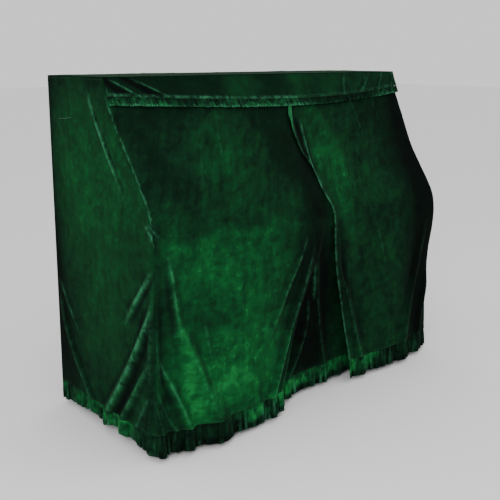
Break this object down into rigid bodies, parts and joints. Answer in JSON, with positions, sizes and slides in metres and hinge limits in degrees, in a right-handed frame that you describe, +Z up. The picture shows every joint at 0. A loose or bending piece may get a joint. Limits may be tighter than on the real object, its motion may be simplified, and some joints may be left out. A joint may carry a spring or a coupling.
{
  "type": "fitted velvet cover for an upright piano",
  "caption": "Full-length fitted velvet cover for an upright piano, hanging in soft folds, with a gathered valance at the front, a lapped front opening and a frilled hem.",
  "frame": {"origin": "middle of the flat underside of the top panel, where the piano's lid carries the cover", "axes": "+X to the right as seen from the keyboard side, +Y towards the wall behind the piano, +Z up"},
  "size_m": [1.6143, 0.7215, 1.2668],
  "materials": {
    "velvet": "deep green crushed velvet, matt in the pile with a soft sheen along the folds",
    "frill_velvet": "the same green velvet cut in strips and gathered, lighter where the pile opens"
  },
  "bodies": {
    "root": {"top_panel": "velvet", "valance": "velvet", "valance_frill": "frill_velvet", "front_panel_left": "velvet", "front_panel_right": "velvet", "side_panel_left": "velvet", "side_panel_right": "velvet", "back_panel": "velvet", "side_frill_left": "frill_velvet", "side_frill_right": "frill_velvet", "front_frill_left": "frill_velvet", "front_frill_right": "frill_velvet"}
  },
  "joints": []
}
